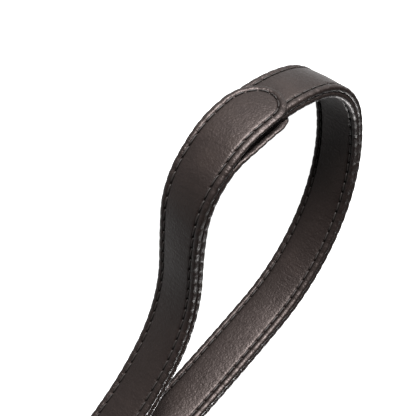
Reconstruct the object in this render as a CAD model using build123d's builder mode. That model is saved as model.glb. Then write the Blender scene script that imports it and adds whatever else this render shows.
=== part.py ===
from build123d import *
from collections import namedtuple
from math import asin, cos, degrees, radians, sin, tan
import os

# Training leash in millimetres. The strap stands on its edge, so its width is along +Z and its path lies
# in XY. The origin is on the lower edge at the throat, in the seam between the two strands of the hand loop.

# Strap section: two plies, each a leather skin turned over a filler strip.
STRAP_WIDTH = 18.0
SKIN = 0.8
FILLER = 1.2
PLY = SKIN + FILLER
STRAP_THICK = 2 * PLY

# Hand loop: straight joint, then tangent arcs as (length, turn), left turns positive, and the joint again.
THROAT_HEADING = -21.0
JOINT_LENGTH = 30.0
GRIP_ARCS = [(58.0, 16.0), (22.0, 14.0), (34.0, 36.0), (18.0, -2.0), (31.0, -62.0), (35.0, -34.0)]
CROWN_TURN = -66.0
RETURN_ARCS = [(45.0, -42.0), (40.0, -36.0)]
STRAIGHTEST_TURN = -3.0
RETURN_LEAD_ARCS = [(37.0, -17.0), (45.0, 16.0)]

# Lap: the return strap's end is skived and sewn between the grip's two skins. Stations run along the loop.
TONGUE_TIP = 212.0
LINING_TIP = 214.0
LAP_START = 180.0
LAP_GAP = 2.0
SKIVE_LENGTH = 15.0
SKIVED_HALF = SKIN / 2

# Stitching
STITCH_PITCH = 4.0
STITCH_LENGTH = 3.0
STITCH_MARGIN = 2.5
THREAD = 0.5
TIP_STITCHES = 7
TIP_STITCH_LENGTH = 2.2
CROSS_ROW_INSET = 5.0
CROSS_STITCHES = 3
ROW_END_GAP = 2.0
THROAT_CLEAR = 20.0

# Rivet through the joint
RIVET_SHANK_RADIUS = 1.5
RIVET_HEAD_RADIUS = 4.5
RIVET_HEAD_THICK = 1.2
RIVET_CAP_THICK = 1.8
RIVET_CAP_DEPTH = 1.0
RIVET_ROUNDING = 0.5
RIVET_CLEARANCE = 0.1

# Leash strap from the joint to the snap: a straight lead, a round coil standing on edge, then a tail that
# turns in to the snap. The coil winds left, each half turn closer in. The tail is (run, turn) at each corner.
# The lead's last stretch and the tail's first stretch lie against the turns, and belong to the coil's solid.
LEAD_LENGTH = 60.0
COIL_RADIUS = 99.0
COIL_PITCH = 8.0
COIL_HALF_TURNS = [180.0, 180.0, 75.0]
LEAD_MERGE = 32.0
TAIL_MERGE = 66.0
TAIL_CORNERS = [(30.0, 42.0), (30.0, 42.0), (30.0, 42.0)]
TAIL_END = 30.0
CORNER_SHARE = 0.45

# Strap end and the fold round the swivel eye
END_WIDTH = 12.0
TAPER_LENGTH = 10.0
TONGUE_LENGTH = 18.0
FOLD_LENGTH = 22.0
FOLD_THICK = 2.0
TONGUE_TO_EYE = 4.0
FOLD_ROW_HEIGHT = 4.0
FOLD_STITCHES = 4

# Snap hook; u runs from the eye's bar along the hook, v across it and w up
WIRE_RADIUS = 1.3
BAR_CLEARANCE = 0.08
EYE_SIDE_GAP = 0.3
EYE_ARM = 2.7
EYE_ROUNDING = 0.8
EYE_LENGTH = 11.0
BOSS_RADIUS = 3.6
BOSS_LENGTH = 5.0
POST_RADIUS = 1.6
RUNNING_CLEARANCE = 0.06
POST_HEAD_RADIUS = 2.9
POST_HEAD_THICK = 1.2
AXIAL_GAP = 0.3
PLUG_LENGTH = 3.0
BARREL_RADIUS = 5.5
BARREL_LENGTH = 28.7
BOLT_RADIUS = 2.0
BOLT_LENGTH = 24.0
BOLT_TRAVEL = 9.0
RING_RADIUS = 10.0
RING_DEPTH = 7.5
RING_WIRE = 2.6
KNOB_PIN_RADIUS = 1.2
KNOB_SLOT_GAP = 0.3
KNOB_HEAD_RADIUS = 2.6
KNOB_HEAD_THICK = 2.0
KNOB_FROM_TIP = 15.2
KNOB_DEPTH = 1.5
KNOB_LIFT = 0.4
KNOB_ROUNDING = 0.6
BOLT_CHAMFER = 0.5
BARREL_ROUNDING = 1.0
SPRING_WIRE = 0.3
SPRING_RADIUS = 1.5
SPRING_TURNS = 6
SPRING_END_GAP = 0.1

FOLD_INNER = WIRE_RADIUS + BAR_CLEARANCE
MID_HEIGHT = STRAP_WIDTH / 2

Leg = namedtuple("Leg", "start x y heading length turn")


def chord(heading, turn):
    """Vector covered by one millimetre of arc that turns by turn in all."""
    half = radians(turn) / 2
    share = sin(half) / half if half else 1.0
    direction = radians(heading) + half
    return Vector(share * cos(direction), share * sin(direction))


def close_loop(arcs, first, second, heading, target):
    """Lengths of two arcs that bring the chain of arcs to the target."""
    rest, vectors = Vector(0, 0), {}
    for index, (length, turn) in enumerate(arcs):
        step = chord(heading, turn)
        if index in (first, second):
            vectors[index] = step
        else:
            rest += step * length
        heading += turn
    a, b, left = vectors[first], vectors[second], target - rest
    scale = a.X * b.Y - a.Y * b.X
    return (left.X * b.Y - left.Y * b.X) / scale, (a.X * left.Y - a.Y * left.X) / scale


def lay_path(start, heading, arcs):
    """The legs of a chain of tangent arcs."""
    legs, done, place = [], 0.0, start
    for length, turn in arcs:
        legs.append(Leg(done, place.X, place.Y, heading, length, turn))
        place += chord(heading, turn) * length
        done += length
        heading += turn
    return legs


def path_length(path):
    return path[-1].start + path[-1].length


def heading_at(path, along):
    leg = [one for one in path if one.start <= along + 1e-9][-1]
    return leg.heading + leg.turn * (along - leg.start) / leg.length


def point_at(path, along, offset=0.0):
    """Point on the path, moved to its left by offset."""
    leg = [one for one in path if one.start <= along + 1e-9][-1]
    gone = along - leg.start
    turned = leg.turn * gone / leg.length
    step = chord(leg.heading, turned) * gone
    facing = radians(leg.heading + turned)
    return Vector(leg.x + step.X - offset * sin(facing), leg.y + step.Y + offset * cos(facing))


def tangent_at(path, along):
    facing = radians(heading_at(path, along))
    return Vector(cos(facing), sin(facing))


def trace_arcs(path, start, stop, offset):
    """Adds arcs along the path between two stations at one offset."""
    cuts = [leg.start for leg in path if start + 1e-6 < leg.start < stop - 1e-6]
    stations = [start] + cuts + [stop]
    for low, high in zip(stations, stations[1:]):
        middle = point_at(path, (low + high) / 2, offset)
        ends = point_at(path, low, offset), point_at(path, high, offset)
        if abs(heading_at(path, low + 1e-6) - heading_at(path, high - 1e-6)) < 1e-3:
            Line(*ends)
        else:
            ThreePointArc(ends[0], middle, ends[1])


def trace(path, stations):
    """Adds one long edge: arcs where the offset stays, a smooth ramp where it changes."""
    for (low, near), (high, far) in zip(stations, stations[1:]):
        if near == far:
            trace_arcs(path, low, high, near)
        else:
            ends = point_at(path, low, near), point_at(path, high, far)
            Spline(*ends, tangents=[tangent_at(path, low), tangent_at(path, high)])


def strip(path, one_edge, other_edge, bottom=0.0):
    """Plan outline of a strip of leather between two edges."""
    with BuildSketch(Plane.XY.offset(bottom)) as outline:
        with BuildLine():
            trace(path, one_edge)
            trace(path, other_edge)
            Line(point_at(path, *one_edge[0]), point_at(path, *other_edge[0]))
            Line(point_at(path, *one_edge[-1]), point_at(path, *other_edge[-1]))
        make_face()
    return outline.sketch


def level(start, stop, offset):
    return [(start, offset), (stop, offset)]


def face_plane(path, along, offset, height, side=1):
    """Plane on a strap face: x along the path, z out of the face."""
    tangent = tangent_at(path, along)
    spot = point_at(path, along, offset)
    outward = Vector(-tangent.Y, tangent.X) * side
    return Plane(origin=(spot.X, spot.Y, height), x_dir=tangent, z_dir=outward)


def save(part, name):
    part.label = name
    export_step(part, f"parts/{name}.step")


def loop_path():
    """Centre line of the hand loop, from the joint's far end, round the crown and back."""
    arcs = [(JOINT_LENGTH, 0.0)] + GRIP_ARCS + [(0.0, CROWN_TURN)] + RETURN_ARCS
    arcs += [(0.0, STRAIGHTEST_TURN)] + RETURN_LEAD_ARCS + [(JOINT_LENGTH, 0.0)]
    crown = 1 + len(GRIP_ARCS)
    straightest = crown + 1 + len(RETURN_ARCS)
    facing = radians(THROAT_HEADING)
    normal = Vector(-sin(facing), cos(facing))
    heading = THROAT_HEADING + 180
    lengths = close_loop(arcs, crown, straightest, heading, normal * STRAP_THICK)
    arcs[crown] = (lengths[0], CROWN_TURN)
    arcs[straightest] = (lengths[1], STRAIGHTEST_TURN)
    start = Vector(cos(facing), sin(facing)) * JOINT_LENGTH - normal * (STRAP_THICK / 2)
    return lay_path(start, heading, arcs)


def cornered_arcs(corners, last_run):
    """Straight runs joined by tangent arcs, each arc as large as its two runs allow."""
    arcs, used = [], 0.0
    runs = [run for run, _ in corners] + [last_run]
    for index, (run, turn) in enumerate(corners):
        trim = CORNER_SHARE * min(run, runs[index + 1])
        radius = trim / tan(radians(turn) / 2)
        print(f"tail corner radius {radius:.1f}")
        arcs += [(run - used - trim, 0.0), (radius * radians(turn), turn)]
        used = trim
    return arcs + [(last_run - used, 0.0)]


def coil_arcs():
    """Arcs of the coil, each half turn tighter than the last by half the pitch."""
    radii = [COIL_RADIUS - index * COIL_PITCH / 2 for index in range(len(COIL_HALF_TURNS))]
    return [(radius * radians(turn), turn) for radius, turn in zip(radii, COIL_HALF_TURNS)]


LOOP = loop_path()
LOOP_END = path_length(LOOP)
RAMP_START = LAP_START + LAP_GAP
RAMP_END = RAMP_START + SKIVE_LENGTH

COIL_ARCS = coil_arcs()
COIL_LENGTH = sum(length for length, _ in COIL_ARCS)
COIL_START = LEAD_LENGTH
COIL_END = COIL_START + COIL_LENGTH
RUN_ARCS = [(LEAD_LENGTH, 0.0)] + COIL_ARCS + cornered_arcs(TAIL_CORNERS, TAIL_END)
RUN = lay_path(point_at(LOOP, 0.0), THROAT_HEADING, RUN_ARCS)
RUN_END = path_length(RUN)
COIL_CENTRE = point_at(RUN, COIL_START, COIL_RADIUS)

EYE_BAR = TAPER_LENGTH + TONGUE_LENGTH + TONGUE_TO_EYE
STRAP_END = point_at(RUN, RUN_END)
HOOK_DIRECTION = tangent_at(RUN, RUN_END)
BAR_SPOT = STRAP_END + HOOK_DIRECTION * EYE_BAR
HOOK = Plane(origin=(BAR_SPOT.X, BAR_SPOT.Y, MID_HEIGHT), x_dir=HOOK_DIRECTION, z_dir=(0, 0, 1))
BOSS_END = EYE_LENGTH - WIRE_RADIUS + BOSS_LENGTH
BARREL_START = BOSS_END + AXIAL_GAP
BARREL_END = BARREL_START + BARREL_LENGTH
PLUG_END = BARREL_START + PLUG_LENGTH
RING_HALF = (RING_RADIUS ** 2 - RING_DEPTH ** 2) ** 0.5
RING_CENTRE = BARREL_END + RING_HALF
BOLT_TIP = RING_CENTRE + RING_HALF - RING_WIRE - AXIAL_GAP
BOLT_TAIL = BOLT_TIP - BOLT_LENGTH
KNOB_PLACE = BOLT_TIP - KNOB_FROM_TIP
BORE_RADIUS = BOLT_RADIUS + RUNNING_CLEARANCE


def ramped(side, first, last, before, after):
    """Edge stations that step outwards over the lap's ramp, on one side of the centre line."""
    stations = [(RAMP_START, before), (RAMP_END, after), (last, after)]
    if first < RAMP_START:
        stations.insert(0, (first, before))
    return [(along, side * offset) for along, offset in stations]


def grip_edges(side, last):
    """Inner and outer edges of the grip skin, which opens over the lap to take the return strap's end."""
    return ramped(side, 0.0, last, FILLER, PLY), ramped(side, 0.0, last, PLY, PLY + SKIN)


def return_edges(side):
    """Inner and outer edges of the return skin, skived thin where it starts inside the lap."""
    inner = ramped(side, RAMP_START, LOOP_END, SKIVED_HALF, FILLER)
    return inner, ramped(side, RAMP_START, LOOP_END, SKIVED_HALF + SKIN, PLY)


def seam_plane():
    """Plane at the joint's middle, z across the seam towards the return strand."""
    facing = radians(THROAT_HEADING)
    middle = Vector(cos(facing), sin(facing)) * (JOINT_LENGTH / 2)
    return Plane(origin=(middle.X, middle.Y, MID_HEIGHT), x_dir=(cos(facing), sin(facing), 0),
                 z_dir=(-sin(facing), cos(facing), 0))


def rivet_hole():
    """The rivet hole's tool, long enough for both straps."""
    with BuildSketch(seam_plane()) as outline:
        Circle(RIVET_SHANK_RADIUS + RIVET_CLEARANCE)
    return outline.sketch


def tongue_waste():
    """Plan of what is cut away to round the tongue, on the tongue's own face."""
    half = STRAP_WIDTH / 2
    with BuildSketch(face_plane(LOOP, TONGUE_TIP, 0.0, MID_HEIGHT)) as waste:
        Rectangle(2 * half, 2 * STRAP_WIDTH)
        with Locations((-half, 0)):
            Circle(half, mode=Mode.SUBTRACT)
            Rectangle(2 * half, 2 * STRAP_WIDTH, align=(Align.MAX, Align.CENTER), mode=Mode.SUBTRACT)
    return waste.sketch


def save_skin(name, side, wall, turned_start, turned_end, rounded=False):
    """A leather skin: its wall, the edges turned over the filler and, on the tongue, the rounded end."""
    with BuildPart() as skin:
        extrude(strip(LOOP, *wall), amount=STRAP_WIDTH)
        for bottom in (0.0, STRAP_WIDTH - SKIN):
            edges = level(turned_start, turned_end, 0.0), level(turned_start, turned_end, side * FILLER)
            extrude(strip(LOOP, *edges, bottom=bottom), amount=SKIN)
        extrude(rivet_hole(), amount=STRAP_THICK, both=True, mode=Mode.SUBTRACT)
        if rounded:
            extrude(tongue_waste(), amount=STRAP_THICK, both=True, mode=Mode.SUBTRACT)
    save(skin.part, name)


def save_filler(name, side, start, stop):
    with BuildPart() as filler:
        edges = level(start, stop, 0.0), level(start, stop, side * FILLER)
        extrude(strip(LOOP, *edges, bottom=SKIN), amount=STRAP_WIDTH - 2 * SKIN)
        extrude(rivet_hole(), amount=STRAP_THICK, both=True, mode=Mode.SUBTRACT)
    save(filler.part, name)


def stitch(length):
    """One stitch lying on a face, where the active locations say."""
    Box(length, THREAD, THREAD, align=(Align.CENTER, Align.CENTER, Align.MIN))


def save_rows(name, side, face, start, stop, tip=False):
    """Two rows of stitches along a face, cut from ribbons of thread by the gaps between stitches."""
    lifted = [(along, offset + side * THREAD) for along, offset in face]
    count = int((stop - start) // STITCH_PITCH)
    gaps = [start + index * STITCH_PITCH + (STITCH_PITCH + STITCH_LENGTH) / 2 for index in range(count)]
    with BuildPart() as rows:
        for height in (STITCH_MARGIN, STRAP_WIDTH - STITCH_MARGIN):
            extrude(strip(LOOP, face, lifted, bottom=height - THREAD / 2), amount=THREAD)
        with Locations(*[face_plane(LOOP, gap, side * PLY, MID_HEIGHT).location for gap in gaps]):
            Box(STITCH_PITCH - STITCH_LENGTH, STRAP_WIDTH, 2 * STRAP_THICK, mode=Mode.SUBTRACT)
        if tip:
            with Locations(*[tip_plane(index).location for index in range(TIP_STITCHES)]):
                stitch(TIP_STITCH_LENGTH)
    save(rows.part, name)


def tip_plane(index):
    """Plane of one stitch on the row that follows the tongue's round end."""
    angle = radians(-90 + 180 * (index + 1) / (TIP_STITCHES + 1))
    radius = STRAP_WIDTH / 2 - STITCH_MARGIN
    along = TONGUE_TIP - STRAP_WIDTH / 2 + radius * cos(angle)
    tangent = tangent_at(LOOP, along)
    spot = point_at(LOOP, along, PLY + SKIN)
    direction = tangent * -sin(angle) + Vector(0, 0, cos(angle))
    height = MID_HEIGHT + radius * sin(angle)
    return Plane(origin=(spot.X, spot.Y, height), x_dir=direction, z_dir=Vector(-tangent.Y, tangent.X))


def make_strands():
    for layer, side in (("face", 1), ("lining", -1)):
        tip = TONGUE_TIP if side > 0 else LINING_TIP
        save_skin(f"grip_{layer}_skin", side, grip_edges(side, tip), 0.0, LAP_START, side > 0)
        save_filler(f"grip_{layer}_filler", side, 0.0, LAP_START)
        save_skin(f"return_{layer}_skin", side, return_edges(side), RAMP_END, LOOP_END)
        save_filler(f"return_{layer}_filler", side, RAMP_END, LOOP_END)


def make_thread():
    half = STRAP_WIDTH / 2
    for layer, side in (("face", 1), ("lining", -1)):
        end = TONGUE_TIP - half if side > 0 else LINING_TIP - ROW_END_GAP
        first = ROW_END_GAP if side > 0 else JOINT_LENGTH + THROAT_CLEAR
        face = ramped(side, first, end, PLY, PLY + SKIN)
        save_rows(f"grip_{layer}_thread", side, face, first, end, side > 0)
        start = (TONGUE_TIP if side > 0 else LINING_TIP) + ROW_END_GAP
        stop = LOOP_END - (ROW_END_GAP if side > 0 else JOINT_LENGTH + THROAT_CLEAR)
        save_rows(f"return_{layer}_thread", side, level(start, stop, side * PLY), start, stop)


def make_joint_thread():
    """Short rows across both outer faces, near the joint's two ends."""
    with BuildPart() as thread:
        for start in (0.0, LOOP_END - JOINT_LENGTH):
            for inset in (CROSS_ROW_INSET, JOINT_LENGTH - CROSS_ROW_INSET):
                with Locations(face_plane(LOOP, start + inset, PLY, MID_HEIGHT).location):
                    with GridLocations(1, STITCH_PITCH, 1, CROSS_STITCHES):
                        Box(THREAD, STITCH_LENGTH, THREAD, align=(Align.CENTER, Align.CENTER, Align.MIN))
    save(thread.part, "joint_thread")


def make_rivet():
    seam = seam_plane()
    with BuildPart() as post:
        with BuildSketch(seam.offset(-STRAP_THICK - RIVET_HEAD_THICK)):
            Circle(RIVET_HEAD_RADIUS)
        extrude(amount=RIVET_HEAD_THICK)
        fillet(post.edges().sort_by(Axis(seam.origin, seam.z_dir))[0], RIVET_ROUNDING)
        with BuildSketch(seam.offset(-STRAP_THICK)):
            Circle(RIVET_SHANK_RADIUS)
        extrude(amount=2 * STRAP_THICK + RIVET_CAP_DEPTH)
    save(post.part, "joint_rivet_post")
    with BuildPart() as cap:
        with BuildSketch(seam.offset(STRAP_THICK)):
            Circle(RIVET_HEAD_RADIUS)
        extrude(amount=RIVET_CAP_THICK)
        fillet(cap.edges().sort_by(Axis(seam.origin, seam.z_dir))[-1], RIVET_ROUNDING)
        with BuildSketch(seam.offset(STRAP_THICK)):
            Circle(RIVET_SHANK_RADIUS)
        extrude(amount=RIVET_CAP_DEPTH, mode=Mode.SUBTRACT)
    save(cap.part, "joint_rivet_cap")


def cross_plane(along):
    """Plane square to the hook's axis, x across the hook."""
    return Plane(origin=HOOK.from_local_coords(Vector(along, 0, 0)), x_dir=HOOK.y_dir, z_dir=HOOK.x_dir)


def hook_disc(along, radius):
    """A round outline square to the hook's axis."""
    with BuildSketch(cross_plane(along)) as disc:
        Circle(radius)
    return disc.sketch


def make_leash_strap():
    """The lead, the coil's outer shape with the stretches that merge into it, and the tail to the snap."""
    with BuildPart() as lead:
        length = COIL_START - LEAD_MERGE
        extrude(strip(RUN, level(0.0, length, -PLY), level(0.0, length, PLY)), amount=STRAP_WIDTH)
    save(lead.part, "leash_strap_lead")
    inner = COIL_RADIUS - COIL_PITCH - PLY
    with BuildPart() as coil:
        with BuildSketch():
            with Locations(COIL_CENTRE):
                Circle(COIL_RADIUS + PLY)
                Circle(inner, mode=Mode.SUBTRACT)
        extrude(amount=STRAP_WIDTH)
        for start, stop in ((COIL_START - LEAD_MERGE, COIL_START), (COIL_END, COIL_END + TAIL_MERGE)):
            extrude(strip(RUN, level(start, stop, -PLY), level(start, stop, PLY)), amount=STRAP_WIDTH)
    save(coil.part, "leash_strap_coil")
    with BuildPart() as tail:
        start = COIL_END + TAIL_MERGE
        extrude(strip(RUN, level(start, RUN_END, -PLY), level(start, RUN_END, PLY)), amount=STRAP_WIDTH)
        with BuildSketch(cross_plane(-EYE_BAR)):
            Rectangle(STRAP_THICK, STRAP_WIDTH)
        with BuildSketch(cross_plane(TAPER_LENGTH - EYE_BAR)) as tongue:
            Rectangle(2 * FOLD_INNER, END_WIDTH)
        loft()
        extrude(tongue.sketch, amount=TONGUE_LENGTH)
    save(tail.part, "leash_strap_tail")


def make_fold():
    outer = FOLD_INNER + FOLD_THICK
    with BuildPart() as fold:
        with BuildSketch(HOOK.offset(-END_WIDTH / 2)):
            for radius, mode in ((outer, Mode.ADD), (FOLD_INNER, Mode.SUBTRACT)):
                Circle(radius, mode=mode)
                Rectangle(FOLD_LENGTH, 2 * radius, align=(Align.MAX, Align.CENTER), mode=mode)
        extrude(amount=END_WIDTH)
    save(fold.part, "hook_end_fold")
    with BuildPart() as thread:
        for side in (-1, 1):
            middle = (FOLD_LENGTH + TONGUE_TO_EYE) / 2
            spot = HOOK.from_local_coords(Vector(-middle, side * outer, 0))
            with Locations(Plane(origin=spot, x_dir=HOOK.x_dir, z_dir=HOOK.y_dir * side).location):
                with GridLocations(STITCH_PITCH, 2 * FOLD_ROW_HEIGHT, FOLD_STITCHES, 2):
                    stitch(STITCH_LENGTH)
    save(thread.part, "fold_thread")


def make_swivel():
    """The eye, a stirrup of two arms and two round bars with a boss, and the post that turns in its boss."""
    inner = END_WIDTH / 2 + EYE_SIDE_GAP
    with BuildPart() as eye:
        for low in (-inner - EYE_ARM, inner):
            with BuildSketch(HOOK.offset(low)):
                with Locations((EYE_LENGTH / 2, 0)):
                    SlotCenterToCenter(EYE_LENGTH, 2 * WIRE_RADIUS)
            extrude(amount=EYE_ARM)
        outer_rims = eye.edges().group_by(Axis.Z)[0] + eye.edges().group_by(Axis.Z)[-1]
        fillet(outer_rims, EYE_ROUNDING)
        with BuildSketch(HOOK.offset(-inner)):
            with Locations((0, 0), (EYE_LENGTH, 0)):
                Circle(WIRE_RADIUS)
        extrude(amount=2 * inner)
        extrude(hook_disc(EYE_LENGTH - WIRE_RADIUS, BOSS_RADIUS), amount=BOSS_LENGTH)
        bore = hook_disc(EYE_LENGTH - 2 * WIRE_RADIUS, POST_RADIUS + RUNNING_CLEARANCE)
        extrude(bore, amount=BOSS_LENGTH + 2 * WIRE_RADIUS, mode=Mode.SUBTRACT)
    save(eye.part, "swivel_eye")
    head_start = EYE_LENGTH - WIRE_RADIUS - AXIAL_GAP - POST_HEAD_THICK
    with BuildPart() as post:
        extrude(hook_disc(head_start, POST_HEAD_RADIUS), amount=POST_HEAD_THICK)
        extrude(hook_disc(head_start, POST_RADIUS), amount=BARREL_START - head_start)
        extrude(hook_disc(BARREL_START, BORE_RADIUS), amount=PLUG_LENGTH)
    save(post.part, "swivel_post")


def asin_degrees(value):
    return degrees(asin(value))


def make_snap_body():
    centre = HOOK.from_local_coords(Vector(RING_CENTRE, -RING_DEPTH, 0))
    root_depth = (BARREL_RADIUS + BORE_RADIUS) / 2
    root_angle = 180 - asin_degrees((RING_DEPTH - root_depth) / RING_RADIUS)
    nose_angle = 360 + asin_degrees(RING_DEPTH / RING_RADIUS)
    slot_gap = KNOB_PIN_RADIUS + KNOB_SLOT_GAP
    with BuildPart() as body:
        extrude(hook_disc(BARREL_START, BARREL_RADIUS), amount=BARREL_LENGTH)
        fillet(body.edges(), BARREL_ROUNDING)
        with BuildLine(Plane(origin=centre, x_dir=HOOK.x_dir, z_dir=HOOK.z_dir)) as ring:
            CenterArc((0, 0), RING_RADIUS, root_angle, nose_angle - root_angle)
        with BuildSketch(Plane(origin=ring.line @ 0, z_dir=ring.line % 0)):
            Circle(RING_WIRE)
        sweep(path=ring.line)
        with Locations(ring.line @ 1):
            Sphere(RING_WIRE)
        extrude(hook_disc(BARREL_START, BORE_RADIUS), amount=BARREL_LENGTH, mode=Mode.SUBTRACT)
        slot_centre = HOOK.from_local_coords(Vector(KNOB_PLACE - BOLT_TRAVEL / 2, 0, 0))
        with BuildSketch(Plane(origin=slot_centre, x_dir=HOOK.x_dir, z_dir=HOOK.z_dir)):
            SlotOverall(BOLT_TRAVEL + 2 * slot_gap, 2 * slot_gap)
        extrude(amount=BARREL_RADIUS, mode=Mode.SUBTRACT)
    save(body.part, "snap_body")


def make_bolt():
    knob_spot = HOOK.from_local_coords(Vector(KNOB_PLACE, 0, BOLT_RADIUS - KNOB_DEPTH))
    knob_plane = Plane(origin=knob_spot, x_dir=HOOK.x_dir, z_dir=HOOK.z_dir)
    with BuildPart() as bolt:
        extrude(hook_disc(BOLT_TAIL, BOLT_RADIUS), amount=BOLT_LENGTH)
        chamfer(bolt.edges().sort_by(Axis(HOOK.origin, HOOK.x_dir))[-1], BOLT_CHAMFER)
        with BuildSketch(knob_plane):
            Circle(KNOB_PIN_RADIUS)
        extrude(amount=BOLT_RADIUS, mode=Mode.SUBTRACT)
    save(bolt.part, "snap_bolt")
    pin_length = BARREL_RADIUS + KNOB_LIFT - BOLT_RADIUS + KNOB_DEPTH
    with BuildPart() as knob:
        with BuildSketch(knob_plane):
            Circle(KNOB_PIN_RADIUS)
        extrude(amount=pin_length)
        with BuildSketch(knob_plane.offset(pin_length)):
            Circle(KNOB_HEAD_RADIUS)
        extrude(amount=KNOB_HEAD_THICK)
        fillet(knob.edges().sort_by(Axis.Z)[-1], KNOB_ROUNDING)
    save(knob.part, "thumb_knob")


def make_spring():
    start = PLUG_END + SPRING_END_GAP + SPRING_WIRE / 2
    height = BOLT_TAIL - SPRING_END_GAP - SPRING_WIRE / 2 - start
    place = HOOK.from_local_coords(Vector(start, 0, 0))
    with BuildPart() as spring:
        with BuildLine() as coil:
            Helix(height / SPRING_TURNS, height, SPRING_RADIUS, center=place, direction=HOOK.x_dir)
        with BuildSketch(Plane(origin=coil.line @ 0, z_dir=coil.line % 0)):
            Circle(SPRING_WIRE / 2)
        sweep(path=coil.line, is_frenet=True)
    save(spring.part, "bolt_spring")


os.makedirs("parts", exist_ok=True)
make_strands()
make_thread()
make_joint_thread()
make_rivet()
make_leash_strap()
make_fold()
make_swivel()
make_snap_body()
make_bolt()
make_spring()
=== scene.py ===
from collections import namedtuple
from math import cos, pi, radians, sin

import bmesh
import bpy
import numpy as np
from mathutils import Matrix, Vector

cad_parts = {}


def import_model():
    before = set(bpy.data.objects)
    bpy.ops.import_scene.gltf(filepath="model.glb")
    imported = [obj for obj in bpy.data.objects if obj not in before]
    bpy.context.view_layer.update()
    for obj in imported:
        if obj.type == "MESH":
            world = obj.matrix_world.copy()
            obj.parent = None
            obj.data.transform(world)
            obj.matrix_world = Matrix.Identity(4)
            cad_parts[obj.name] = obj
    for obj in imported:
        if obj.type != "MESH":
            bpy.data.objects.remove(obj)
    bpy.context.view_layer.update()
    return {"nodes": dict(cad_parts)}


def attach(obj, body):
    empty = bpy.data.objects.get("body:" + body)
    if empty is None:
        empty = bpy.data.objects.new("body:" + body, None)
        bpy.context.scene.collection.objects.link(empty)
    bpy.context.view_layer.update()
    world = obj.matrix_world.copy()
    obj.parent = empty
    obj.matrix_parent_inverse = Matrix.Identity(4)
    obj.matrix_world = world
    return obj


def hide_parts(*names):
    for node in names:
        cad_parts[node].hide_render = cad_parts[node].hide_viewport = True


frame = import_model()

MM = 0.001

# Strap section, as in the CAD
STRAP_WIDTH = 18.0
PLY = 2.0
STITCH_MARGIN = 2.5
STITCH_PITCH = 4.0

# The hand loop's centre line: start, heading in degrees, then tangent arcs as (length, turn)
LOOP_START = (27.291, -12.618)
LOOP_HEADING = 159.0
LOOP_ARCS = [(30, 0), (58, 16), (22, 14), (34, 36), (18, -2), (31, -62), (35, -34), (29.273, -66),
             (45, -42), (40, -36), (38.459, -3), (37, -17), (45, 16), (30, 0)]
JOINT_LENGTH = 30.0
LOOP_END = sum(length for length, _ in LOOP_ARCS)

# The lap, where the return strap's end lies between the grip's two plies
RAMP_START = 182.0
RAMP_END = 197.0

# How far the strap leans out at its upper edge, in degrees, at stations along the loop, and the odd
# number of millimetres over which the corners between those stations are rounded
LEAN_STATIONS = [50, 60, 108, 155, 202, 250, 298, 345, 392, 440, 450]
LEAN_ANGLES = [0, 0.5, 6, 4, -5, -0.5, 1.5, 3.5, 4.5, 0.5, 0]
LEAN_WINDOW = 31

# The leash strap's route: the lead, the coil's turns and the tail, all on the floor
LEAD_POINTS = [(27.291, -12.618), (55.3, -23.37)]
COIL_CENTRE = (118.784, 58.304)
COIL_RADIUS = 99.0
COIL_PITCH = 8.0
COIL_START_ANGLE = -111.0
COIL_TURN = 435.0
POINTS_PER_TURN = 16
ROUTE_RESOLUTION = 24
SAME_POINT = 1e-4
TAIL_POINTS = [(210.04, 29.09), (206.9, 58.92), (184.6, 78.996), (154.608, 78.996)]

# Camera: the point it looks at and its distance, in millimetres, then its tilt off the vertical and its
# roll in degrees, and its lens and sensor
TARGET = (-129.05, -10.35, 9.0)
CAMERA_DISTANCE = 300.7
CAMERA_TILT = 55.52
CAMERA_ROLL = 122.12
LENS = 84.7
SENSOR = 36.0

# Stage, in metres and watts: each light has a name, a place, a size and a power
FLOOR_SIZE = 60.0
FLOOR_LEVEL = -0.0004
FLOOR_GREY = 0.10
FLOOR_ROUGHNESS = 0.9
FLOOR_GLOW = 1.02
SURROUND_STRENGTH = 0.12
LIGHTS = [("key", (-0.85, -0.81, 0.33), (0.5, 0.3), 310.0),
          ("side", (-1.20, 0.00, 0.45), (0.6, 0.5), 16.0),
          ("back", (0.55, 0.95, 0.26), (0.6, 0.4), 70.0),
          ("top", (-0.10, 0.05, 1.30), (1.5, 1.5), 2.0)]


# ---------------------------------------------------------------- paths

def arc_chain(start, heading, arcs, step):
    """Stations, points and headings (radians) along a chain of tangent arcs."""
    place = np.array(start, float)
    facing = radians(heading)
    stations, points, headings = [0.0], [place.copy()], [facing]
    for length, turn in arcs:
        pieces = max(2, int(round(length / step)))
        turned, gone = radians(turn) / pieces, length / pieces
        for _ in range(pieces):
            middle = facing + turned / 2
            place = place + gone * np.array([cos(middle), sin(middle)])
            facing += turned
            stations.append(stations[-1] + gone)
            points.append(place.copy())
            headings.append(facing)
    return np.array(stations), np.array(points), np.array(headings)


class Path:
    """A planar centre line with the strap's frame at any station."""

    def __init__(self, stations, points, headings, lean=None):
        self.stations, self.points, self.headings = stations, points, headings
        self.lean = lean
        self.length = stations[-1]

    def lean_at(self, along):
        if self.lean is None:
            return np.zeros_like(along)
        return np.radians(np.interp(along, *self.lean))

    def place(self, along, offset, height):
        """Points on the strap, in millimetres, for arrays of station, offset and height."""
        x = np.interp(along, self.stations, self.points[:, 0])
        y = np.interp(along, self.stations, self.points[:, 1])
        facing = np.interp(along, self.stations, self.headings)
        lean = self.lean_at(along)
        out = offset * np.cos(lean) + height * np.sin(lean)
        up = height * np.cos(lean) - offset * np.sin(lean) + PLY * np.abs(np.sin(lean))
        return np.stack([x - out * np.sin(facing), y + out * np.cos(facing), up], -1)


def smooth(low, high, value):
    """A soft step from 0 at low to 1 at high."""
    share = np.clip((value - low) / (high - low), 0, 1)
    return share * share * (3 - 2 * share)


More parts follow.
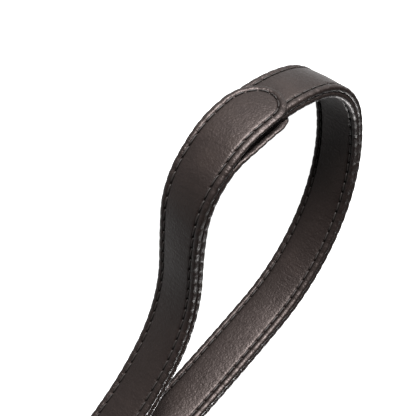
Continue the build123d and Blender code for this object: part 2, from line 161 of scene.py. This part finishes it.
def smooth_lean():
    """The lean's stations with the corners between them rounded."""
    fine = np.arange(0, LOOP_END, 1.0)
    lean = np.interp(fine, LEAN_STATIONS, LEAN_ANGLES)
    window = np.hanning(LEAN_WINDOW)
    padded = np.pad(lean, LEAN_WINDOW // 2, mode="edge")
    return fine, np.convolve(padded, window / window.sum(), mode="valid")


LOOP = Path(*arc_chain(LOOP_START, LOOP_HEADING, LOOP_ARCS, 0.5), lean=smooth_lean())


# ---------------------------------------------------------------- mesh helpers

WELD_DISTANCE = 2e-6


def link(name, vertices, faces):
    """A mesh object from millimetre vertices."""
    mesh = bpy.data.meshes.new(name)
    mesh.from_pydata((np.asarray(vertices) * MM).tolist(), [], [list(map(int, face)) for face in faces])
    mesh.update()
    piece = bpy.data.objects.new(name, mesh)
    bpy.context.scene.collection.objects.link(piece)
    return piece


def grid_faces(rows, columns, wrap, first=0):
    """Quads of a grid of rows, joined round across its columns when wrap is set."""
    faces = []
    last = columns if wrap else columns - 1
    for row in range(rows - 1):
        for column in range(last):
            follow = (column + 1) % columns
            a, b = first + row * columns + column, first + row * columns + follow
            faces.append((a, b, b + columns, a + columns))
    return faces


def end_caps(rows, columns):
    """The two faces that close a tube of rings."""
    last = (rows - 1) * columns
    return [tuple(range(columns)), tuple(last + column for column in range(columns))[::-1]]


def mark_strap(piece, places):
    """Stores where each point lies on the strap, for the creases that run across it."""
    mark = piece.data.attributes.new("strap", "FLOAT_VECTOR", "POINT")
    mark.data.foreach_set("vector", (places * MM).ravel())


def tidy_mesh(piece):
    """Welds the seams, turns every face outwards and shades the faces smooth."""
    work = bmesh.new()
    work.from_mesh(piece.data)
    bmesh.ops.remove_doubles(work, verts=work.verts, dist=WELD_DISTANCE)
    bmesh.ops.recalc_face_normals(work, faces=work.faces)
    work.to_mesh(piece.data)
    work.free()
    piece.data.polygons.foreach_set("use_smooth", [True] * len(piece.data.polygons))


# ---------------------------------------------------------------- leather ply

EDGE_ROUND = 0.75
EDGE_STEPS = 6
FACE_DEPTHS = np.array([0.95, 1.2, 1.5, 1.75, 1.95, 2.1, 2.25, 2.4, 2.5, 2.6, 2.75, 2.9, 3.1, 3.4, 3.9, 4.7,
                        5.7, 6.9, 8.0])
ON_FACE = 0.999
BEAD_HEIGHT = 0.22
BEAD_PLACE = 1.40
BEAD_SPREAD = 0.60
BEAD_PINCHED = 0.75
GROOVE_DEPTH = 0.40
GROOVE_SPREAD = 0.42
HOLE_DEPTH = 0.30
HOLE_SHARPNESS = 3
PANEL_CROWN = 0.34
EDGE_PUCKER = 0.16
PUCKERED_EDGE = 1.0

# Round end of a grip ply: its tip's station, the reach of its lower and upper quarters, and how square
# its corners are, 2 being an ellipse
Tongue = namedtuple("Tongue", "tip lower upper square")
FACE_TONGUE = Tongue(214.2, 13.0, 9.0, 2.0)
LINING_TONGUE = Tongue(213.3, 9.5, 9.0, 3.2)
TONGUE_TIP_HEIGHT = 10.0
LAP_WIDTH = 19.6
SPREAD_START = 150.0
SPREAD_END = 192.0
QUARTER_STEPS = 26
STRAIGHT_STEPS = 9


def pinch(along, phase, pitch=STITCH_PITCH):
    """1 where a stitch hole pulls the leather in, 0 between holes."""
    turn = 2 * pi * (along - phase) / pitch
    return (0.5 + 0.5 * np.cos(turn)) ** HOLE_SHARPNESS


def face_height(depth, pull):
    """Height of a ply's face over its nominal plane, by depth from the edge and pull of the stitches."""
    bead = BEAD_HEIGHT * np.exp(-((depth - BEAD_PLACE) / BEAD_SPREAD) ** 2) * (1 - BEAD_PINCHED * pull)
    hollow = np.exp(-((depth - STITCH_MARGIN) / GROOVE_SPREAD) ** 2)
    groove = -(GROOVE_DEPTH + HOLE_DEPTH * pull) * hollow
    inside = np.clip((depth - STITCH_MARGIN) / (STRAP_WIDTH / 2 - STITCH_MARGIN), 0, 1)
    return bead + groove + PANEL_CROWN * (1 - (1 - inside) ** 2)


def half_section():
    """Depth from the edge and share of the ply's thickness, from the seam round the edge to the middle."""
    angles = np.linspace(0, pi, EDGE_STEPS + 1)
    depths = EDGE_ROUND - EDGE_ROUND * np.sin(angles)
    shares = 0.5 - 0.5 * np.cos(angles)
    return (np.concatenate([depths, FACE_DEPTHS, [STRAP_WIDTH / 2]]),
            np.concatenate([shares, np.ones(len(FACE_DEPTHS) + 1)]))


DEPTHS, SHARES = half_section()


class Ply:
    """One layer of a strap: the side of the seam that it lies on and how it thickens along its path."""

    def __init__(self, path, side, base, thick, width, upper_phase=0.0):
        self.path, self.side, self.base, self.thick = path, side, base, thick
        self.width, self.upper_phase = width, upper_phase

    def place(self, along, height, share, raised):
        offset = self.side * (self.base(along) + share * self.thick(along) + raised)
        return self.path.place(along, offset, height)

    def skin(self, along, depth, share, pull, upper):
        """Points of the skin for arrays of station, depth and pull, and where they lie on the strap."""
        edge = depth + np.where(depth < PUCKERED_EDGE, EDGE_PUCKER * pull, 0.0)
        height = np.where(upper, self.width(along) - edge, edge)
        raised = np.where(share >= ON_FACE, face_height(depth, pull), 0.0)
        return self.place(along, height, share, raised), np.stack([along, height, 0 * along], -1)


def constant(value):
    """The same value at every station."""
    return lambda along: np.full_like(np.asarray(along, float), value)


def ramped(low, high):
    """A value that changes from low to high over the stretch where the return strap's end is skived."""
    return lambda along: low + (high - low) * smooth(RAMP_START, RAMP_END, np.asarray(along, float))


def widening(along):
    """Width of the grip strap, which spreads a little where it wraps the return strap's end."""
    spread = smooth(SPREAD_START, SPREAD_END, np.asarray(along, float))
    return STRAP_WIDTH + (LAP_WIDTH - STRAP_WIDTH) * spread


def tongue_outline(tongue, depth, lean):
    """Station and height round the tongue's end at one depth, lower edge first and back along the upper."""
    depth = np.asarray(depth, float)
    turn = pi / 2 * np.minimum(np.abs(lean), 1.0)
    upper = lean > 0
    reach = np.where(upper, tongue.upper, tongue.lower)
    spread = np.where(upper, LAP_WIDTH - TONGUE_TIP_HEIGHT, TONGUE_TIP_HEIGHT) - depth
    forward = np.cos(turn).clip(0) ** (2 / tongue.square)
    sideways = np.sin(turn) ** (2 / tongue.square)
    back = np.clip(lean - 1, 0, 1) * (tongue.lower - tongue.upper)
    station = tongue.tip - reach + (reach - depth) * forward - back
    return station, TONGUE_TIP_HEIGHT + np.sign(lean) * spread * sideways


# Places round the tongue: -1 to 1 round its two quarters, 1 to 2 along the straight stretch that follows
TONGUE_STEPS = np.concatenate([np.linspace(-1, 1, 2 * QUARTER_STEPS + 1),
                               np.linspace(1, 2, STRAIGHT_STEPS)[1:]])


class TongueRow:
    """The stitch row round the tongue: arc lengths from the last hole of the lower row."""

    def __init__(self, tongue):
        self.station, self.height = tongue_outline(tongue, STITCH_MARGIN, TONGUE_STEPS)
        root = tongue.tip - tongue.lower
        self.first_hole = STITCH_PITCH * np.floor(root / STITCH_PITCH)
        steps = np.hypot(np.diff(self.station), np.diff(self.height))
        self.arc = root - self.first_hole + np.concatenate([[0], np.cumsum(steps)])
        self.count = int(round(self.arc[-1] / STITCH_PITCH))
        self.pitch = self.arc[-1] / self.count
        self.root = root

    def pull(self):
        return pinch(self.arc, 0.0, self.pitch)

    def at(self, arc):
        """Station and height at an arc length, which may start before the tongue's root."""
        arcs = np.concatenate([[0.0], self.arc])
        stations = np.concatenate([[self.first_hole], self.station])
        heights = np.concatenate([[STITCH_MARGIN], self.height])
        return np.interp(arc, arcs, stations), np.interp(arc, arcs, heights)


def section_ring():
    """Depths, shares and upper flags of the closed ring round a whole ply."""
    depths = np.concatenate([DEPTHS, DEPTHS[-2::-1]])
    shares = np.concatenate([SHARES, SHARES[-2::-1]])
    upper = np.arange(len(depths)) >= len(DEPTHS)
    return depths, shares, upper


def ply_body(ply, start, stop, step):
    """Rings of points along a ply, and where they lie on the strap."""
    depths, shares, upper = section_ring()
    along = np.linspace(start, stop, int((stop - start) / step) + 1)[:, None] + 0 * depths[None]
    pull = np.where(upper[None], pinch(along, ply.upper_phase), pinch(along, 0.0))
    return ply.skin(along, depths[None] + 0 * along, shares[None] + 0 * along, pull, upper[None])


def ply_tongue(ply, tongue, row):
    """Half sections round the tongue's end, and where they lie on the strap."""
    pull = row.pull()[:, None]
    depth = DEPTHS[None] + EDGE_PUCKER * pull * (DEPTHS[None] < PUCKERED_EDGE)
    station, height = tongue_outline(tongue, depth, TONGUE_STEPS[:, None] + 0 * depth)
    share = SHARES[None] + 0 * station
    raised = np.where(share >= ON_FACE, face_height(DEPTHS[None] + 0 * station, pull), 0.0)
    return ply.place(station, height, share, raised), np.stack([station, height, 0 * station], -1)


def tongue_faces(first):
    """The tongue's skin and its two flat sides, for half sections numbered from first."""
    rows, columns = len(TONGUE_STEPS), len(DEPTHS)
    faces = grid_faces(rows, columns, False, first)
    for column in (0, columns - 1):
        faces.append(tuple(first + row * columns + column for row in range(rows)))
    return faces


def build_ply(name, ply, start, stop, tongue=None, step=0.5):
    """A turned-edge leather ply between two stations, with a tongue at its end where one is given."""
    row = TongueRow(tongue) if tongue else None
    rings, marks = ply_body(ply, start, row.root if row else stop, step)
    rows, columns = rings.shape[:2]
    vertices, places = [rings.reshape(-1, 3)], [marks.reshape(-1, 3)]
    root_cap, end_cap = end_caps(rows, columns)
    faces = grid_faces(rows, columns, True) + [root_cap]
    if row:
        rings, marks = ply_tongue(ply, tongue, row)
        vertices.append(rings.reshape(-1, 3))
        places.append(marks.reshape(-1, 3))
        faces += tongue_faces(rows * columns)
    else:
        faces.append(end_cap)
    piece = link(name, np.concatenate(vertices), faces)
    mark_strap(piece, np.concatenate(places))
    tidy_mesh(piece)
    return piece


# ---------------------------------------------------------------- stitches

THREAD_RADIUS = 0.27
STITCH_SIDES = 8
STITCH_STEPS = 9
STITCH_SLANT = 0.18
HOLE_GAP = 0.25
THREAD_ARCH = 0.26
THREAD_SUNK = 0.42
THREAD_END = 0.45
THREAD_RIDGE = 0.10
THREAD_TWIST = 7


def stitch_tube(place):
    """Vertices and faces of one stitch: a twisted tube along the line that place(t) gives, t from 0 to 1."""
    stations = np.linspace(0, 1, STITCH_STEPS)
    centres = np.array([place(t) for t in stations])
    tangents = np.gradient(centres, axis=0)
    tangents /= np.linalg.norm(tangents, axis=1)[:, None]
    vertices = []
    for index, t in enumerate(stations):
        radius = THREAD_RADIUS * (THREAD_END + (1 - THREAD_END) * min(1.0, 5 * min(t, 1 - t) + 0.15))
        across = np.cross(tangents[index], (0, 0, 1.0))
        if np.linalg.norm(across) < 0.2:
            across = np.cross(tangents[index], (1.0, 0, 0))
        across /= np.linalg.norm(across)
        other = np.cross(tangents[index], across)
        for side in range(STITCH_SIDES):
            angle = 2 * pi * side / STITCH_SIDES
            ridge = 1 + THREAD_RIDGE * cos(2 * angle - THREAD_TWIST * t)
            vertices.append(centres[index] + radius * ridge * (cos(angle) * across + sin(angle) * other))
    faces = grid_faces(STITCH_STEPS, STITCH_SIDES, True) + end_caps(STITCH_STEPS, STITCH_SIDES)
    return np.array(vertices), faces


def gather(name, tubes):
    """One mesh object of many tubes."""
    vertices, faces, first = [], [], 0
    for points, quads in tubes:
        vertices.append(points)
        faces += [tuple(index + first for index in face) for face in quads]
        first += len(points)
    piece = link(name, np.concatenate(vertices), faces)
    tidy_mesh(piece)
    return piece


def one_stitch(ply, line):
    """A stitch that arches over the groove along line(t), which gives station and height."""
    def place(t):
        station, height = line(t)
        lift = THREAD_ARCH * sin(pi * t) ** 0.5 - THREAD_SUNK + 0.6 * THREAD_RADIUS
        return ply.place(np.array(station), np.array(height), 1.0, lift)
    return stitch_tube(place)


def row_stitches(ply, start, stop):
    """The two long rows of a ply, from hole to hole, each stitch slanting a little."""
    tubes = []
    for upper, phase in ((False, 0.0), (True, ply.upper_phase)):
        first = int(np.ceil((start - phase) / STITCH_PITCH))
        last = int(np.floor((stop - phase) / STITCH_PITCH + 1e-6))
        for index in range(first, last):
            def line(t, hole=phase + index * STITCH_PITCH, upper=upper):
                slant = STITCH_SLANT * (t - 0.5)
                station = hole + HOLE_GAP + t * (STITCH_PITCH - 2 * HOLE_GAP)
                height = ply.width(station) - STITCH_MARGIN if upper else STITCH_MARGIN
                return station, height + slant
            tubes.append(one_stitch(ply, line))
    return tubes


def tongue_stitches(ply, tongue):
    """The row that follows the tongue's end, from the lower row's last hole to the upper row's."""
    row = TongueRow(tongue)
    tubes = []
    for index in range(row.count):
        def line(t, index=index):
            return row.at(index * row.pitch + HOLE_GAP + t * (row.pitch - 2 * HOLE_GAP))
        tubes.append(one_stitch(ply, line))
    return tubes


# ---------------------------------------------------------------- materials

LEATHER_COLOURS = [(0.30, (0.0009, 0.0006, 0.0005)), (0.55, (0.0013, 0.0009, 0.0008)),
                   (0.75, (0.0020, 0.0014, 0.0012))]
LEATHER_ROUGHNESS = (0.38, 0.52)
LEATHER_SPECULAR = 0.07
LEATHER_TINT = (1.0, 0.84, 0.80, 1.0)
THREAD_COLOURS = [(0.35, (0.0009, 0.0006, 0.0005)), (0.7, (0.0024, 0.0017, 0.0015))]
THREAD_ROUGHNESS = 0.62
THREAD_SPECULAR = 0.07


def new_material(name):
    material = bpy.data.materials.new(name)
    material.use_nodes = True
    return material, material.node_tree.nodes, material.node_tree.links


def add(nodes, kind, **settings):
    """A shader node with its inputs or settings given by name."""
    node = nodes.new(kind)
    for key, value in settings.items():
        if key in node.inputs:
            node.inputs[key].default_value = value
        else:
            setattr(node, key, value)
    return node


def ramp(nodes, stops):
    """A colour ramp from pairs of position and colour."""
    node = nodes.new("ShaderNodeValToRGB")
    elements = node.color_ramp.elements
    while len(elements) < len(stops):
        elements.new(0.5)
    for element, (position, colour) in zip(elements, stops):
        element.position = position
        element.color = (*colour, 1.0)
    return node


def nappa():
    """Dark-brown nappa: pebbled grain, fine creases across the strap, colour drift and uneven gloss."""
    material, nodes, links = new_material("nappa_leather")
    shader = nodes["Principled BSDF"]
    strap = add(nodes, "ShaderNodeAttribute", attribute_name="strap")
    stretch = add(nodes, "ShaderNodeMapping")
    stretch.inputs["Scale"].default_value = (1.0, 0.30, 1.0)
    links.new(strap.outputs["Vector"], stretch.inputs["Vector"])
    place = add(nodes, "ShaderNodeTexCoord")
    drift = add(nodes, "ShaderNodeTexNoise", Scale=60.0, Detail=4.0, Roughness=0.6)
    pebble = add(nodes, "ShaderNodeTexVoronoi", Scale=1500.0, Randomness=1.0)
    pebble.feature = "SMOOTH_F1"
    grain = add(nodes, "ShaderNodeTexNoise", Scale=1100.0, Detail=5.0, Roughness=0.65)
    creases = add(nodes, "ShaderNodeTexNoise", Scale=520.0, Detail=4.0, Roughness=0.55, Distortion=0.6)
    for texture in (drift, pebble, grain):
        links.new(place.outputs["Object"], texture.inputs["Vector"])
    links.new(stretch.outputs["Vector"], creases.inputs["Vector"])
    colour = ramp(nodes, LEATHER_COLOURS)
    links.new(drift.outputs["Fac"], colour.inputs["Fac"])
    links.new(colour.outputs["Color"], shader.inputs["Base Color"])
    gloss = add(nodes, "ShaderNodeMapRange")
    smooth_hide, rough_hide = LEATHER_ROUGHNESS
    limits = (("From Min", 0.3), ("From Max", 0.7), ("To Min", smooth_hide), ("To Max", rough_hide))
    for name, value in limits:
        gloss.inputs[name].default_value = value
    links.new(grain.outputs["Fac"], gloss.inputs["Value"])
    links.new(gloss.outputs["Result"], shader.inputs["Roughness"])
    bumps = [(creases.outputs["Fac"], 0.8, 0.00022), (pebble.outputs["Distance"], 0.6, 0.00013),
             (grain.outputs["Fac"], 0.9, 0.00014)]
    before = None
    for height, strength, distance in bumps:
        bump = add(nodes, "ShaderNodeBump", Strength=strength, Distance=distance)
        links.new(height, bump.inputs["Height"])
        if before:
            links.new(before.outputs["Normal"], bump.inputs["Normal"])
        before = bump
    links.new(before.outputs["Normal"], shader.inputs["Normal"])
    shader.inputs["Specular IOR Level"].default_value = LEATHER_SPECULAR
    shader.inputs["Specular Tint"].default_value = LEATHER_TINT
    return material


def thread_material():
    """Waxed thread with a fine twist along it."""
    material, nodes, links = new_material("waxed_thread")
    shader = nodes["Principled BSDF"]
    coordinates = nodes.new("ShaderNodeTexCoord")
    twist = add(nodes, "ShaderNodeTexNoise", Scale=3800.0, Detail=2.0)
    links.new(coordinates.outputs["Object"], twist.inputs["Vector"])
    colour = ramp(nodes, THREAD_COLOURS)
    links.new(twist.outputs["Fac"], colour.inputs["Fac"])
    links.new(colour.outputs["Color"], shader.inputs["Base Color"])
    bump = add(nodes, "ShaderNodeBump", Strength=0.5, Distance=0.00005)
    links.new(twist.outputs["Fac"], bump.inputs["Height"])
    links.new(bump.outputs["Normal"], shader.inputs["Normal"])
    shader.inputs["Roughness"].default_value = THREAD_ROUGHNESS
    shader.inputs["Specular IOR Level"].default_value = THREAD_SPECULAR
    return material


def metal(name, colour, low, high):
    """Plated metal with faint buffing marks and handled smudges."""
    material, nodes, links = new_material(name)
    shader = nodes["Principled BSDF"]
    coordinates = nodes.new("ShaderNodeTexCoord")
    smudge = add(nodes, "ShaderNodeTexNoise", Scale=180.0, Detail=5.0, Roughness=0.65)
    marks = add(nodes, "ShaderNodeTexNoise", Scale=2400.0, Detail=2.0)
    links.new(coordinates.outputs["Object"], smudge.inputs["Vector"])
    links.new(coordinates.outputs["Object"], marks.inputs["Vector"])
    gloss = add(nodes, "ShaderNodeMapRange")
    gloss.inputs["To Min"].default_value = low
    gloss.inputs["To Max"].default_value = high
    links.new(smudge.outputs["Fac"], gloss.inputs["Value"])
    links.new(gloss.outputs["Result"], shader.inputs["Roughness"])
    bump = add(nodes, "ShaderNodeBump", Strength=0.06, Distance=0.00003)
    links.new(marks.outputs["Fac"], bump.inputs["Height"])
    links.new(bump.outputs["Normal"], shader.inputs["Normal"])
    shader.inputs["Base Color"].default_value = (*colour, 1.0)
    shader.inputs["Metallic"].default_value = 1.0
    return material


LEATHER = nappa()
THREAD = thread_material()
NICKEL = metal("nickel_plate", (0.46, 0.45, 0.43), 0.14, 0.32)
SPRING = metal("spring_steel", (0.36, 0.36, 0.36), 0.25, 0.40)


def dress(piece, material, body, slot, *nodes):
    """Gives a piece its material, body and the CAD nodes that it stands for; slot is not used."""
    piece.data.materials.clear()
    piece.data.materials.append(material)
    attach(piece, body)
    if nodes:
        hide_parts(*nodes)
    return piece


# ---------------------------------------------------------------- hand loop

ROW_INSET = 2.0
THROAT_CLEAR = 20.0
LAP_PLY = 1.1
SKIVED_PLY = 1.2


def hand_loop():
    """The four plies of the hand loop and their stitches."""
    for layer, side, tongue in (("face", 1, FACE_TONGUE), ("lining", -1, LINING_TONGUE)):
        inset = ROW_INSET if side > 0 else JOINT_LENGTH + THROAT_CLEAR
        root = tongue.tip - tongue.lower
        grip = Ply(LOOP, side, ramped(0.0, PLY), ramped(PLY, LAP_PLY), widening, root % STITCH_PITCH)
        back = Ply(LOOP, side, constant(0.0), ramped(SKIVED_PLY, PLY), constant(STRAP_WIDTH))
        dress(build_ply(f"grip_{layer}", grip, 0.0, root, tongue), LEATHER, "strap", "nappa_leather",
              f"grip_{layer}_skin", f"grip_{layer}_filler")
        dress(build_ply(f"return_{layer}", back, RAMP_START, LOOP_END), LEATHER, "strap", "nappa_leather",
              f"return_{layer}_skin", f"return_{layer}_filler")
        grip_tubes = row_stitches(grip, inset, root) + tongue_stitches(grip, tongue)
        dress(gather(f"grip_{layer}_stitches", grip_tubes), THREAD, "strap", "waxed_thread",
              f"grip_{layer}_thread")
        back_tubes = row_stitches(back, root, LOOP_END - inset)
        dress(gather(f"return_{layer}_stitches", back_tubes), THREAD, "strap", "waxed_thread",
              f"return_{layer}_thread")


# ---------------------------------------------------------------- leash strap

def route_points():
    """Control points of the leash strap's own line."""
    points = list(LEAD_POINTS)
    count = int(round(COIL_TURN / 360 * POINTS_PER_TURN))
    spread = 1 / cos(radians(COIL_TURN / count / 2))
    for index in range(count + 1):
        turned = COIL_TURN * index / count
        radius = (COIL_RADIUS - COIL_PITCH * turned / 360) * spread
        angle = radians(COIL_START_ANGLE + turned)
        points.append((COIL_CENTRE[0] + radius * cos(angle), COIL_CENTRE[1] + radius * sin(angle)))
    return points + TAIL_POINTS


def route_line():
    """The route as Blender's NURBS spline gives it, in millimetres."""
    curve = bpy.data.curves.new("leash_route", "CURVE")
    curve.dimensions = "3D"
    spline = curve.splines.new("NURBS")
    points = route_points()
    spline.points.add(len(points) - 1)
    for point, (x, y) in zip(spline.points, points):
        point.co = (x * MM, y * MM, STRAP_WIDTH / 2 * MM, 1.0)
    spline.order_u = 3
    spline.use_endpoint_u = True
    spline.resolution_u = ROUTE_RESOLUTION
    holder = bpy.data.objects.new("leash_route", curve)
    bpy.context.scene.collection.objects.link(holder)
    mesh = bpy.data.meshes.new_from_object(holder)
    line = np.array([vertex.co[:] for vertex in mesh.vertices]) / MM
    bpy.data.objects.remove(holder)
    bpy.data.meshes.remove(mesh)
    return line


HOOK_ORIGIN = (122.608, 78.996)
STRAP_END_X = 154.608
TAPER_LENGTH = 10.0
END_TONGUE = 18.0
END_WIDTH = 12.0
END_HALF = 1.38
FOLD_LENGTH = 22.0
FOLD_RADIUS = 2.38
FOLD_HALF = 1.0
BAR_ROUND = 0.7
BAR_STEP = 0.4
CORNER_POINTS = 6


def rounded_ring():
    """Directions round a rounded bar's section: which corner, then the direction out from its centre."""
    turns = np.linspace(0, pi / 2, CORNER_POINTS)
    ring = []
    for across, up, start in ((1, 1, 0.0), (-1, 1, pi / 2), (-1, -1, pi), (1, -1, 1.5 * pi)):
        ring += [(across, up, cos(start + turn), sin(start + turn)) for turn in turns]
    return np.array(ring)


def leather_bar(name, path, half, low, high):
    """A solid leather strip along a path, with half thickness and edge heights that may change on the way."""
    along = np.linspace(0, path.length, int(path.length / BAR_STEP) + 1)[:, None]
    ring = rounded_ring()[None]
    middle, reach = (high(along) + low(along)) / 2, (high(along) - low(along)) / 2
    offset = ring[..., 0] * (half(along) - BAR_ROUND) + ring[..., 2] * BAR_ROUND
    height = middle + ring[..., 1] * (reach - BAR_ROUND) + ring[..., 3] * BAR_ROUND
    station = along + 0 * offset
    points = path.place(station, offset, height)
    rows, columns = points.shape[:2]
    faces = grid_faces(rows, columns, True) + end_caps(rows, columns)
    piece = link(name, points.reshape(-1, 3), faces)
    mark_strap(piece, np.stack([station, height, 0 * station], -1))
    tidy_mesh(piece)
    return piece


def narrowing(wide, narrow):
    """A value that changes from wide to narrow along the strap's taper."""
    return lambda along: wide + (narrow - wide) * np.clip(along / TAPER_LENGTH, 0, 1)


def hook_end():
    """The strap's narrowed end and the leather fold round it, with room for the swivel eye's bar."""
    end = Path(*arc_chain((STRAP_END_X, HOOK_ORIGIN[1]), 180.0, [(TAPER_LENGTH, 0), (END_TONGUE, 0)], 0.5))
    inset = (STRAP_WIDTH - END_WIDTH) / 2
    tail = leather_bar("leash_strap_end", end, narrowing(PLY, END_HALF), narrowing(0.0, inset),
                       narrowing(STRAP_WIDTH, STRAP_WIDTH - inset))
    start = (HOOK_ORIGIN[0] + FOLD_LENGTH, HOOK_ORIGIN[1] - FOLD_RADIUS)
    arcs = [(FOLD_LENGTH, 0), (pi * FOLD_RADIUS, -180), (FOLD_LENGTH, 0)]
    fold = leather_bar("hook_fold", Path(*arc_chain(start, 180.0, arcs, 0.3)), constant(FOLD_HALF),
                       constant(inset), constant(STRAP_WIDTH - inset))
    dress(tail, LEATHER, "strap", "nappa_leather")
    dress(fold, LEATHER, "strap", "nappa_leather", "hook_end_fold")
    return tail, fold


def leash_path():
    """The strap's path along its route, and the route's points with no point twice."""
    line = route_line()
    steps = np.linalg.norm(np.diff(line, axis=0), axis=1)
    keep = np.concatenate([[True], steps > SAME_POINT])
    line = line[keep]
    stations = np.concatenate([[0], np.cumsum(np.linalg.norm(np.diff(line, axis=0), axis=1))])
    directions = np.gradient(line[:, :2], stations, axis=0)
    headings = np.unwrap(np.arctan2(directions[:, 1], directions[:, 0]))
    return Path(stations, line[:, :2], headings), line


def leash_strap():
    """The strap from the joint to the snap, two plies with their stitching."""
    path, line = leash_path()
    plies = [Ply(path, side, constant(0.0), constant(PLY), constant(STRAP_WIDTH)) for side in (-1, 1)]
    strap = build_ply("leash_strap_outer", plies[0], 0.0, path.length, step=1.0)
    other = build_ply("leash_strap_inner", plies[1], 0.0, path.length, step=1.0)
    dress(other, LEATHER, "strap", "nappa_leather")
    dress(strap, LEATHER, "strap", "nappa_leather",
          "leash_strap_lead", "leash_strap_coil", "leash_strap_tail")
    tubes = []
    for ply in plies:
        tubes += row_stitches(ply, ROW_INSET, path.length - ROW_INSET)
    stitches = dress(gather("leash_strap_stitches", tubes), THREAD, "strap", "waxed_thread")
    nodes = frame["nodes"]
    hook = [nodes[name] for name in ("fold_thread", "swivel_eye", "swivel_post", "snap_body", "snap_bolt",
                                     "thumb_knob", "bolt_spring")]
    exit_point = (LEAD_POINTS[0][0] * MM, LEAD_POINTS[0][1] * MM, STRAP_WIDTH / 2 * MM)
    return strap, other, stitches, hook, exit_point, line


# ---------------------------------------------------------------- hardware

def carried_nodes():
    """CAD nodes that stay, with their materials."""
    nickel = ["joint_rivet_post", "joint_rivet_cap", "swivel_eye", "swivel_post", "snap_body", "snap_bolt",
              "thumb_knob"]
    thread = ["joint_thread", "fold_thread"]
    for names, material in ((nickel, NICKEL), (thread, THREAD), (["bolt_spring"], SPRING)):
        for name in names:
            mesh = frame["nodes"][name].data
            mesh.materials.clear()
            mesh.materials.append(material)


# ---------------------------------------------------------------- stage

def floor():
    """A wide table lit from below, so that nothing casts a visible shadow on it."""
    bpy.ops.mesh.primitive_plane_add(size=FLOOR_SIZE, location=(0, 0, FLOOR_LEVEL))
    plane = bpy.context.object
    plane.name = "floor"
    material, nodes, _ = new_material("floor")
    shader = nodes["Principled BSDF"]
    shader.inputs["Base Color"].default_value = (FLOOR_GREY, FLOOR_GREY, FLOOR_GREY, 1.0)
    shader.inputs["Roughness"].default_value = FLOOR_ROUGHNESS
    shader.inputs["Emission Color"].default_value = (1.0, 1.0, 1.0, 1.0)
    shader.inputs["Emission Strength"].default_value = FLOOR_GLOW
    plane.data.materials.append(material)


def area_light(name, place, size, power):
    """A rectangular light aimed at the camera's target."""
    data = bpy.data.lights.new(name, "AREA")
    data.shape = "RECTANGLE"
    data.size, data.size_y = size
    data.energy = power
    light = bpy.data.objects.new(name, data)
    light.location = place
    aim = Vector(TARGET) * MM - Vector(place)
    light.rotation_euler = aim.to_track_quat("-Z", "Y").to_euler()
    bpy.context.scene.collection.objects.link(light)


def camera():
    """The camera, which looks down at its target from the -Y side."""
    data = bpy.data.cameras.new("camera")
    data.sensor_width = SENSOR
    data.lens = LENS
    eye = bpy.data.objects.new("camera", data)
    target = Vector(TARGET) * MM
    up = radians(90 - CAMERA_TILT)
    eye_place = target + CAMERA_DISTANCE * MM * Vector((0, -cos(up), sin(up)))
    look = (target - eye_place).to_track_quat("-Z", "Y").to_matrix().to_4x4()
    eye.matrix_world = Matrix.Translation(eye_place) @ look @ Matrix.Rotation(radians(CAMERA_ROLL), 4, "Z")
    bpy.context.scene.collection.objects.link(eye)
    bpy.context.scene.camera = eye


def world():
    """A weak white surround, and the view transform that keeps the table white."""
    surround = bpy.data.worlds.new("surround")
    surround.use_nodes = True
    background = surround.node_tree.nodes["Background"]
    background.inputs["Color"].default_value = (1.0, 1.0, 1.0, 1.0)
    background.inputs["Strength"].default_value = SURROUND_STRENGTH
    bpy.context.scene.world = surround
    bpy.context.scene.view_settings.view_transform = "Standard"


hand_loop()
STRAP, OTHER, STITCHES, HOOK, EXIT, LINE = leash_strap()
carried_nodes()
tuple(EXIT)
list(hook_end())
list(HOOK)
floor()
world()
for LIGHT in LIGHTS:
    area_light(*LIGHT)
camera()
